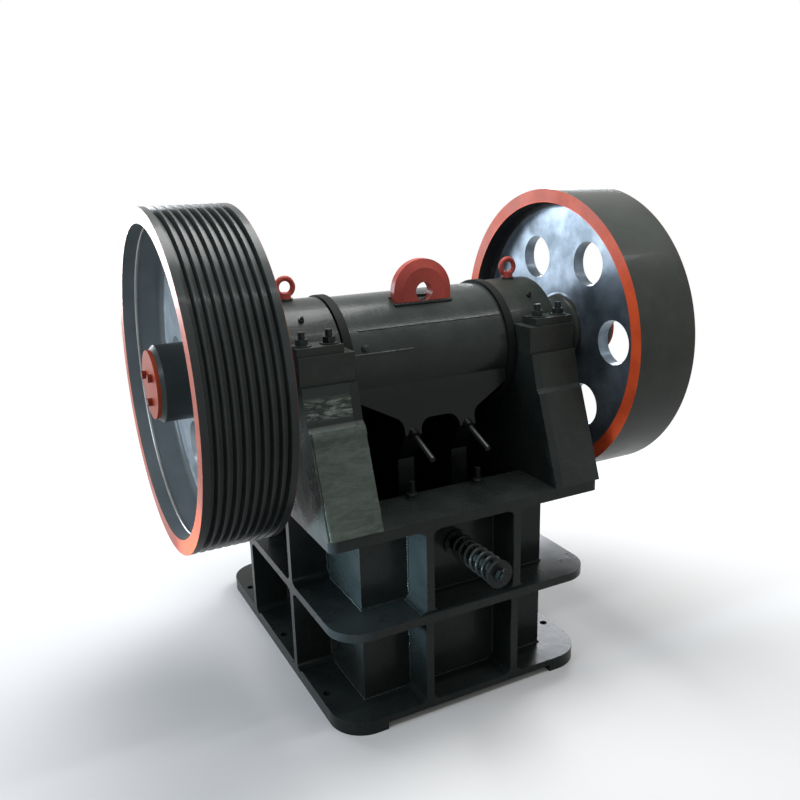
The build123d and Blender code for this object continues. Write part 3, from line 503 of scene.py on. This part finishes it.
def makeJawSteel(choice):
    material = newMaterial(choice["name"])
    place = addNode(material, "ShaderNodeTexCoord").outputs["Object"]
    grain = addNode(material, "ShaderNodeTexNoise", {"Scale": choice["grainScale"], "Detail": 5.0},
                    {"Vector": place}).outputs["Fac"]
    patches = addNode(material, "ShaderNodeTexNoise",
                      {"Scale": choice["patchScale"], "Detail": 6.0},
                      {"Vector": place}).outputs["Fac"]
    tone = addNode(material, "ShaderNodeMix",
                   {"data_type": "RGBA", 6: srgb(choice["dark"]), 7: srgb(choice["light"])},
                   {"Factor": patches})
    rustShare = addNode(material, "ShaderNodeMapRange",
                        {"From Min": 0.52, "From Max": 0.72, "To Max": choice["rustShare"]},
                        {"Value": patches})
    colour = addNode(material, "ShaderNodeMix", {"data_type": "RGBA", 7: srgb(choice["rust"])},
                     {"Factor": rustShare.outputs[0], 6: tone.outputs[2]})
    bump = addNode(material, "ShaderNodeBump", {"Distance": choice["grainDepth"], "Strength": 0.8},
                   {"Height": grain})
    rough = addNode(material, "ShaderNodeMapRange",
                    {"To Min": choice["rough"][0], "To Max": choice["rough"][1]},
                    {"Value": grain})
    metal = addNode(material, "ShaderNodeMapRange",
                    {"From Min": 0.45, "From Max": 0.65, "To Min": choice["metal"][0],
                     "To Max": choice["metal"][1]}, {"Value": patches})
    finishMaterial(material, addNode(material, "ShaderNodeBsdfPrincipled", {},
                                     {"Base Color": colour.outputs[2],
                                      "Roughness": rough.outputs[0],
                                      "Metallic": metal.outputs[0], "Normal": bump.outputs[0]}))
    return material


# Shaft steel, turned and ground: bright, with fine rings about 1 mm apart
shaftSteel = {"name": "turnedShaftSteel", "light": "#a9aaa8", "dark": "#7c7c7a",
              "ringScale": 900.0, "ringDepth": 0.0001, "filmScale": 18.0, "rough": (0.22, 0.42)}


def makeShaftSteel(choice):
    material = newMaterial(choice["name"])
    place = addNode(material, "ShaderNodeTexCoord").outputs["Object"]
    across = addNode(material, "ShaderNodeSeparateXYZ", {}, {0: place}).outputs["X"]
    rings = addNode(material, "ShaderNodeTexNoise",
                    {"noise_dimensions": "1D", "Scale": choice["ringScale"], "Detail": 3.0},
                    {"W": across})
    film = addNode(material, "ShaderNodeTexNoise", {"Scale": choice["filmScale"], "Detail": 5.0},
                   {"Vector": place}).outputs["Fac"]
    colour = addNode(material, "ShaderNodeMix",
                     {"data_type": "RGBA", 6: srgb(choice["dark"]), 7: srgb(choice["light"])},
                     {"Factor": film})
    bump = addNode(material, "ShaderNodeBump", {"Distance": choice["ringDepth"], "Strength": 0.5},
                   {"Height": rings.outputs["Fac"]})
    rough = addNode(material, "ShaderNodeMapRange",
                    {"To Min": choice["rough"][0], "To Max": choice["rough"][1]},
                    {"Value": film})
    finishMaterial(material, addNode(material, "ShaderNodeBsdfPrincipled", {"Metallic": 1.0},
                                     {"Base Color": colour.outputs[2],
                                      "Roughness": rough.outputs[0], "Normal": bump.outputs[0]}))
    return material


# Seal rings: black rubber, matt and a little dusty, which all but swallows the light. Its
# moulded skin has a 3 mm orange peel
sealRubber = {"name": "blackSealRubber", "light": "#0f1111", "dark": "#060707", "rough": 0.66,
              "specular": 0.12, "filmScale": 30.0, "peelScale": 320.0, "peelDepth": 0.0003}


def makeRubber(choice):
    material = newMaterial(choice["name"])
    place = addNode(material, "ShaderNodeTexCoord").outputs["Object"]
    film = addNode(material, "ShaderNodeTexNoise", {"Scale": choice["filmScale"], "Detail": 6.0},
                   {"Vector": place})
    colour = addNode(material, "ShaderNodeMix",
                     {"data_type": "RGBA", 6: srgb(choice["dark"]), 7: srgb(choice["light"])},
                     {"Factor": film.outputs["Fac"]})
    peel = addNode(material, "ShaderNodeTexNoise", {"Scale": choice["peelScale"], "Detail": 2.0},
                   {"Vector": place})
    bump = addNode(material, "ShaderNodeBump", {"Distance": choice["peelDepth"], "Strength": 0.6},
                   {"Height": peel.outputs["Fac"]})
    finishMaterial(material, addNode(material, "ShaderNodeBsdfPrincipled",
                                     {"Roughness": choice["rough"],
                                      "Specular IOR Level": choice["specular"]},
                                     {"Base Color": colour.outputs[2],
                                      "Normal": bump.outputs[0]}))
    return material


castSteel = makeJawSteel(jawSteel)
rubber = makeRubber(sealRubber)
turnedSteel = makeShaftSteel(shaftSteel)

finishes = [
    (frameEnamel, ["side_wall_left", "side_wall_right", "front_wall", "rear_wall",
                   "base_side_flanges", "base_end_flanges", "middle_side_flanges",
                   "middle_end_flanges", "bearing_shelves", "feed_rim", "rear_ledge", "rear_ribs",
                   "front_ribs", "side_ribs_left", "side_ribs_right", "toggle_block",
                   "toggle_plate"]),
    (rubber, ["seal_rings"]),
    (leftPedestalEnamel, ["bearing_pedestal_left"]),
    (rightPedestalEnamel, ["bearing_pedestal_right", "bearing_cap_left", "bearing_cap_right",
                           "main_bearing_left", "main_bearing_right"]),
    (barrelEnamel, ["pitman"]),
    (boltEnamel, ["cap_bolts_left", "cap_bolts_right", "adjusting_studs", "spring_seat",
                  "clamp_rods", "tension_rod", "spring_washer", "tension_spring"]),
    (redEnamel, ["lifting_lug", "eye_bolt_left", "eye_bolt_right"]),
    (hubCapEnamel, ["hub_cap_left", "hub_cap_right"]),
    (sheavePaint, ["sheave"]),
    (flywheelPaint, ["flywheel"]),
    (castSteel, ["fixed_jaw_plate", "movable_jaw_plate", "cheek_plate_left",
                 "cheek_plate_right"]),
    (turnedSteel, ["eccentric_shaft"]),
]
for finish, nodeNames in finishes:
    for nodeName in nodeNames:
        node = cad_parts[nodeName]
        for slotIndex in range(len(node.material_slots)):
            node.material_slots[slotIndex].material = finish
print("enamels and metals put on the frame's own nodes")


def startPiece():
    if bpy.context.object and bpy.context.object.mode != "OBJECT":
        bpy.ops.object.mode_set(mode="OBJECT")
    bpy.ops.object.select_all(action="DESELECT")


# A new piece is turned and placed through its mesh, so its object stays at the origin
def bakePlace(piece):
    startPiece()
    piece.select_set(True)
    bpy.context.view_layer.objects.active = piece
    bpy.ops.object.transform_apply(location=True, rotation=True, scale=True)


def joinPieces(pieces):
    startPiece()
    for piece in pieces:
        piece.select_set(True)
    bpy.context.view_layer.objects.active = pieces[0]
    bpy.ops.object.join()
    return bpy.context.object


# Copies of one finished piece, each with its own mesh, at other places or turns
def repeatPiece(piece, matrices):
    copies = []
    for matrix in matrices:
        copy = piece.copy()
        copy.data = piece.data.copy()
        bpy.context.collection.objects.link(copy)
        copy.matrix_world = matrix
        bakePlace(copy)
        copies.append(copy)
    bpy.data.objects.remove(piece)
    return copies


def finishPiece(piece, name, material, body):
    piece.name = name
    piece.data.name = name
    piece.data.materials.clear()
    piece.data.materials.append(material)
    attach(piece, body)


def smoothPiece(degrees):
    bpy.ops.object.shade_smooth_by_angle(angle=math.radians(degrees))


def selectFaces(piece, test):
    bpy.ops.object.mode_set(mode="OBJECT")
    for face in piece.data.polygons:
        face.select = test(face)
    bpy.ops.object.mode_set(mode="EDIT")
    bpy.ops.mesh.select_mode(type="FACE")


def selectVertices(piece, test):
    bpy.ops.mesh.select_mode(type="VERT")
    bpy.ops.mesh.select_all(action="DESELECT")
    bpy.ops.object.mode_set(mode="OBJECT")
    for vertex in piece.data.vertices:
        vertex.select = test(vertex)
    bpy.ops.object.mode_set(mode="EDIT")


def cutAll(place, direction):
    bpy.ops.mesh.select_all(action="SELECT")
    bpy.ops.mesh.bisect(plane_co=place, plane_no=direction)


def bevelEdges(piece, width, segments):
    bevel = piece.modifiers.new("edges", "BEVEL")
    bevel.width = width
    bevel.segments = segments
    bevel.limit_method = "ANGLE"
    bpy.ops.object.modifier_apply(modifier="edges")


# A turned or hexagonal head: its top is drawn in and raised by steps of (inset, rise)
def makeHead(sides, radius, height, steps, edge):
    startPiece()
    bpy.ops.mesh.primitive_cylinder_add(vertices=sides, radius=radius, depth=height,
                                        location=(0, 0, height / 2))
    head = bpy.context.object
    bakePlace(head)
    for inset, rise in steps:
        top = max(vertex.co.z for vertex in head.data.vertices)
        selectFaces(head, lambda face: face.center.z > top - 0.00001)
        bpy.ops.mesh.inset(thickness=inset)
        bpy.ops.mesh.extrude_region_move(TRANSFORM_OT_translate={"value": (0, 0, rise)})
        bpy.ops.object.mode_set(mode="OBJECT")
    bevelEdges(head, edge, 2)
    smoothPiece(35)
    return head


# The turn and move that stand a piece on a surface that faces away from a point
def standOn(point, away):
    turn = Vector(away).to_track_quat("Z", "Y").to_matrix().to_4x4()
    return Matrix.Translation(point) @ turn


# Round washers under the nuts of the bearing caps
capWashers = {"sides": 28, "radius": 0.030, "thickness": 0.004, "edge": 0.0008, "top": 1.278,
              "side": 0.438, "pair": 0.045, "reach": 0.250}


def makeCapWashers(settings):
    washer = makeHead(settings["sides"], settings["radius"], settings["thickness"], [],
                      settings["edge"])
    places = [Matrix.Translation((side * settings["side"] + pair * settings["pair"],
                                  shaftY + end * settings["reach"], settings["top"]))
              for side in (-1, 1) for pair in (-1, 1) for end in (-1, 1)]
    finishPiece(joinPieces(repeatPiece(washer, places)), "capWashers", boltEnamel, "frame")


makeCapWashers(capWashers)

# Hexagon screws that hold the bearing covers, in a circle on the outside of each cover
coverScrews = {"count": 10, "circle": 0.160, "start": 18, "outer": 0.531, "washerSides": 24,
               "washerRadius": 0.018, "washerHeight": 0.0025, "headRadius": 0.013,
               "headHeight": 0.009, "headSteps": [(0.0018, 0.0012)], "edge": 0.0008}


def makeCoverScrews(settings):
    washer = makeHead(settings["washerSides"], settings["washerRadius"],
                      settings["washerHeight"], [], settings["edge"])
    hexagon = makeHead(6, settings["headRadius"], settings["headHeight"], settings["headSteps"],
                       settings["edge"])
    screw = joinPieces([washer, hexagon])
    places = []
    for side in (-1, 1):
        for number in range(settings["count"]):
            angle = math.radians(settings["start"] + 360 / settings["count"] * number)
            point = (side * settings["outer"], shaftY + settings["circle"] * math.cos(angle),
                     shaftZ + settings["circle"] * math.sin(angle))
            places.append(standOn(point, (side, 0, 0)))
    finishPiece(joinPieces(repeatPiece(screw, places)), "coverScrews", boltEnamel, "frame")


makeCoverScrews(coverScrews)

# Hexagon nuts on round washers that clamp the two studs of the toggle block to the ledge
studNuts = {"x": 0.130, "y": -0.465, "level": 0.720, "washerSides": 28, "washerRadius": 0.027,
            "washerHeight": 0.004, "washerEdge": 0.0008, "nutRadius": 0.021,
            "nutHeight": 0.017, "nutSteps": [(0.0030, 0.0020)], "nutEdge": 0.001}


def makeStudNuts(settings):
    washer = makeHead(settings["washerSides"], settings["washerRadius"],
                      settings["washerHeight"], [], settings["washerEdge"])
    nut = makeHead(6, settings["nutRadius"], settings["nutHeight"], settings["nutSteps"],
                   settings["nutEdge"])
    stack = joinPieces([washer, nut])
    places = [Matrix.Translation((side * settings["x"], settings["y"], settings["level"]))
              for side in (-1, 1)]
    finishPiece(joinPieces(repeatPiece(stack, places)), "studNuts", boltEnamel, "frame")


makeStudNuts(studNuts)

# The lock nut's split pin through the tail of the tension rod
splitPin = {"y": -0.8255, "z": 0.550, "radius": 0.0026, "length": 0.040, "eye": 0.006,
            "eyeRise": 0.004, "eyeSteps": (20, 8), "legSides": 12, "tip": [(0.0006, 0.002)],
            "edge": 0.0004}


def makeSplitPin(settings):
    startPiece()
    top = settings["z"] + settings["length"] / 2
    bpy.ops.mesh.primitive_torus_add(major_radius=settings["eye"], minor_radius=settings["radius"],
                                     major_segments=settings["eyeSteps"][0],
                                     minor_segments=settings["eyeSteps"][1],
                                     location=(0, settings["y"], top + settings["eyeRise"]),
                                     rotation=(math.radians(90), 0, 0))
    eye = bpy.context.object
    bakePlace(eye)
    legs = makeHead(settings["legSides"], settings["radius"], settings["length"],
                    settings["tip"], settings["edge"])
    legs.matrix_world = Matrix.Translation((0, settings["y"], top - settings["length"]))
    bakePlace(legs)
    finishPiece(joinPieces([legs, eye]), "rodSplitPin", boltEnamel, "swing_jaw")


makeSplitPin(splitPin)

# Ball grease nipples: one on the rear of each bearing cap, and a plug on the barrel. Angles are
# counted from the top towards the rear
nipples = {"capSide": 0.438, "capAngle": 38, "capRadius": 0.220, "size": 0.010,
           "height": 0.009, "steps": [(0.0036, 0.006), (0.0016, 0.005)], "edge": 0.0007,
           "plugX": -0.250, "plugAngle": 70, "plugRadius": 0.215, "plugSize": 0.013,
           "plugHeight": 0.010, "plugSteps": [(0.004, 0.005)], "plugEdge": 0.001}


def aroundShaft(x, degrees, radius):
    angle = math.radians(degrees)
    away = Vector((0, -math.sin(angle), math.cos(angle)))
    return standOn(Vector((x, shaftY, shaftZ)) + radius * away, away)


def makeNipples(settings):
    nipple = makeHead(6, settings["size"], settings["height"], settings["steps"],
                      settings["edge"])
    places = [aroundShaft(side * settings["capSide"], settings["capAngle"], settings["capRadius"])
              for side in (-1, 1)]
    finishPiece(joinPieces(repeatPiece(nipple, places)), "capGreaseNipples", boltEnamel, "frame")
    plug = makeHead(6, settings["plugSize"], settings["plugHeight"], settings["plugSteps"],
                    settings["plugEdge"])
    plug.matrix_world = aroundShaft(settings["plugX"], settings["plugAngle"],
                                    settings["plugRadius"])
    bakePlace(plug)
    finishPiece(plug, "barrelPlug", barrelEnamel, "swing_jaw")


makeNipples(nipples)
print("washers, nuts, screws and nipples made")

# Low ridges that the halves of the sand mould left along the barrel. Each has its two ends and
# its angle from the top towards the rear
barrelSeams = {"radius": 0.216, "width": 0.011, "height": 0.0035, "cuts": 36,
               "topShare": (0.99, 0.3), "wobble": 0.0012, "seed": 3,
               "ridges": [(-0.262, 0.286, 54), (-0.290, -0.075, 75), (-0.290, 0.290, -62)]}


def makeBarrelSeams(settings):
    ridges = []
    for start, end, degrees in settings["ridges"]:
        length = end - start
        startPiece()
        bpy.ops.mesh.primitive_cube_add(size=1)
        ridge = bpy.context.object
        ridge.scale = (length, settings["width"], 2 * settings["height"])
        bakePlace(ridge)
        selectFaces(ridge, lambda face: face.normal.z > 0.5)
        bpy.ops.transform.resize(value=(*settings["topShare"], 1))
        for cut in range(settings["cuts"]):
            share = (cut + 1) / (settings["cuts"] + 1)
            cutAll(((share - 0.5) * length, 0, 0), (1, 0, 0))
        bpy.ops.mesh.select_all(action="SELECT")
        bpy.ops.transform.vertex_random(offset=settings["wobble"], seed=settings["seed"])
        bpy.ops.object.mode_set(mode="OBJECT")
        ridge.matrix_world = (Matrix.Translation(((start + end) / 2, shaftY, shaftZ))
                              @ Matrix.Rotation(math.radians(degrees), 4, "X")
                              @ Matrix.Translation((0, 0, settings["radius"])))
        bakePlace(ridge)
        smoothPiece(60)
        ridges.append(ridge)
    # the seams' pale enamel is a painted highlight
    finishPiece(joinPieces(ridges), "barrelSeams", seamHighlightEnamel, "swing_jaw")


makeBarrelSeams(barrelSeams)

# Half-round bead on the inner wall of the sheave's rim, near its outer face: it carries the
# bright line that runs round there
wallBead = {"x": -0.834, "radius": 0.4925, "thickness": 0.0042, "steps": (128, 10),
            "widening": 1.5}


def makeWallBead(settings):
    startPiece()
    centre = (settings["x"], shaftY, shaftZ)
    bpy.ops.mesh.primitive_torus_add(major_radius=settings["radius"],
                                     minor_radius=settings["thickness"],
                                     major_segments=settings["steps"][0],
                                     minor_segments=settings["steps"][1],
                                     location=centre, rotation=(0, math.radians(90), 0))
    bead = bpy.context.object
    bakePlace(bead)
    bpy.ops.object.mode_set(mode="EDIT")
    bpy.ops.mesh.select_all(action="SELECT")
    bpy.ops.transform.resize(value=(settings["widening"], 1, 1), center_override=centre)
    bpy.ops.object.mode_set(mode="OBJECT")
    bpy.ops.object.shade_smooth()
    finishPiece(bead, "sheaveWallBead", turnedSteel, "rotor")


makeWallBead(wallBead)

# Filler pad laid over the left pedestal's rear slope: it starts at the lip in a swollen,
# rounded edge and its sides are ragged
pedestalPad = {"x": (-0.509, -0.3325), "foot": (-0.6545, 0.7215), "lip": (-0.541, 1.030),
               "overlap": 0.004, "sink": 0.001, "thickness": 0.0055, "swelling": 0.0075,
               "lipRows": 4, "lipTurn": (0.25, 1.0), "rag": 0.0022, "seed": 11,
               "cuts": (26, 12), "edge": 0.0022}


def makePedestalPad(settings):
    foot, lip = Vector((0, *settings["foot"])), Vector((0, *settings["lip"]))
    slope = lip - foot
    length = slope.length + settings["overlap"]
    width = settings["x"][1] - settings["x"][0]
    startPiece()
    bpy.ops.mesh.primitive_cube_add(size=1)
    pad = bpy.context.object
    pad.scale = (width, length, settings["thickness"])
    bakePlace(pad)
    bpy.ops.object.mode_set(mode="EDIT")
    for count, axis, size in ((settings["cuts"][0], (0, 1, 0), length),
                              (settings["cuts"][1], (1, 0, 0), width)):
        for cut in range(count):
            share = (cut + 1) / (count + 1) - 0.5
            cutAll([share * size * part for part in axis], axis)
    # the swollen lip: the rows of the face next to the upper end are raised one by one
    first, last = settings["lipTurn"]
    for row in range(settings["lipRows"]):
        level = length * (0.5 - row / (settings["cuts"][0] + 1))
        selectVertices(pad, lambda vertex: vertex.co.z > 0 and abs(vertex.co.y - level) < 0.001)
        turn = math.pi * (first + (last - first) * row / settings["lipRows"])
        bpy.ops.transform.translate(value=(0, 0, settings["swelling"] * math.sin(turn)))
    selectFaces(pad, lambda face: abs(face.normal.x) > 0.5)
    bpy.ops.transform.vertex_random(offset=settings["rag"], seed=settings["seed"])
    bpy.ops.object.mode_set(mode="OBJECT")
    bevelEdges(pad, settings["edge"], 3)
    # along the slope, with its face to the rear
    away = Vector((0, -slope.z, slope.y)).normalized()
    axes = Matrix((Vector((1, 0, 0)), slope.normalized(), away)).transposed()
    middle = (foot + lip) / 2 + away * (settings["thickness"] / 2 - settings["sink"])
    middle.x = sum(settings["x"]) / 2
    pad.matrix_world = Matrix.Translation(middle) @ axes.to_4x4()
    bakePlace(pad)
    smoothPiece(50)
    finishPiece(pad, "pedestalPad", leftPedestalEnamel, "frame")


makePedestalPad(pedestalPad)

# Weld beads along the frame's plates and ribs. A bead is a row of overlapping ripples
welds = {"size": 0.0062, "lugSize": 0.008, "shape": (1.25, 1, 0.9), "wobble": 0.0010,
         "pitch": 0.009, "wallX": 0.360, "rearY": -0.526, "frontY": 0.595,
         "flangeLevels": (0.050, 0.360, 0.390), "shelfLevel": 0.682, "shelfEnd": 0.160,
         "rimLevel": 1.172, "endRibX": 0.169, "sideRibsY": (-0.230, 0.235), "ribHalf": 0.014,
         "lowRib": (0.074, 0.336), "rearRib": (0.414, 0.658), "frontRib": (0.414, 1.148),
         "lugX": (-0.086, 0.130), "lugEdges": ((-0.298, 1.3455), (-0.256, 1.3645))}


def flangeRuns(settings):
    x, rear, front = settings["wallX"], settings["rearY"], settings["frontY"]
    shelf, rim, end = settings["shelfLevel"], settings["rimLevel"], settings["shelfEnd"]
    runs = []
    for level in settings["flangeLevels"]:
        for side in (-x, x):
            runs.append(((side, rear, level), (side, front, level)))
        for y in (rear, front):
            runs.append(((-x, y, level), (x, y, level)))
    runs.append(((-x, rear, shelf), (x, rear, shelf)))
    runs.append(((-x, front, rim), (x, front, rim)))
    for side in (-x, x):
        runs.append(((side, rear, shelf), (side, end, shelf)))
        runs.append(((side, end, rim), (side, front, rim)))
    return runs


def ribRuns(settings):
    runs = []
    for side in (-1, 1):
        for edge in (-settings["ribHalf"], settings["ribHalf"]):
            endX = side * settings["endRibX"] + edge
            wallX = side * settings["wallX"]
            rearSide, frontSide = (y + edge for y in settings["sideRibsY"])
            for x, y, upper in ((endX, settings["rearY"], settings["rearRib"]),
                                (endX, settings["frontY"], settings["frontRib"]),
                                (wallX, rearSide, settings["rearRib"]),
                                (wallX, frontSide, settings["frontRib"])):
                for low, high in (settings["lowRib"], upper):
                    runs.append(((x, y, low), (x, y, high)))
    return runs


def lugRuns(settings):
    left, right = settings["lugX"]
    return [((left, *edge), (right, *edge)) for edge in settings["lugEdges"]]


def makeWeld(settings, runs, size, name, body):
    startPiece()
    bpy.ops.mesh.primitive_uv_sphere_add(segments=6, ring_count=4, radius=size)
    ripple = bpy.context.object
    bpy.ops.object.mode_set(mode="EDIT")
    bpy.ops.mesh.select_all(action="SELECT")
    bpy.ops.transform.resize(value=settings["shape"])
    bpy.ops.object.mode_set(mode="OBJECT")
    bpy.ops.object.shade_smooth()
    beads = []
    for start, end in runs:
        path = Vector(end) - Vector(start)
        bead = ripple.copy()
        bead.data = ripple.data.copy()
        bpy.context.collection.objects.link(bead)
        startPiece()
        bead.select_set(True)
        bpy.context.view_layer.objects.active = bead
        row = bead.modifiers.new("row", "ARRAY")
        row.use_relative_offset = False
        row.use_constant_offset = True
        row.constant_offset_displace = (settings["pitch"], 0, 0)
        row.count = round(path.length / settings["pitch"])
        bpy.ops.object.modifier_apply(modifier="row")
        bpy.ops.object.mode_set(mode="EDIT")
        bpy.ops.mesh.select_all(action="SELECT")
        bpy.ops.transform.vertex_random(offset=settings["wobble"], seed=len(beads))
        bpy.ops.object.mode_set(mode="OBJECT")
        bead.matrix_world = (Matrix.Translation(start)
                             @ path.to_track_quat("X", "Z").to_matrix().to_4x4())
        bakePlace(bead)
        beads.append(bead)
    bpy.data.objects.remove(ripple)
    finishPiece(joinPieces(beads), name, frameEnamel, body)


makeWeld(welds, flangeRuns(welds), welds["size"], "flangeWelds", "frame")
makeWeld(welds, ribRuns(welds), welds["size"], "ribWelds", "frame")
makeWeld(welds, lugRuns(welds), welds["lugSize"], "lugWelds", "swing_jaw")
print("barrel seams, bead, pad and welds made")
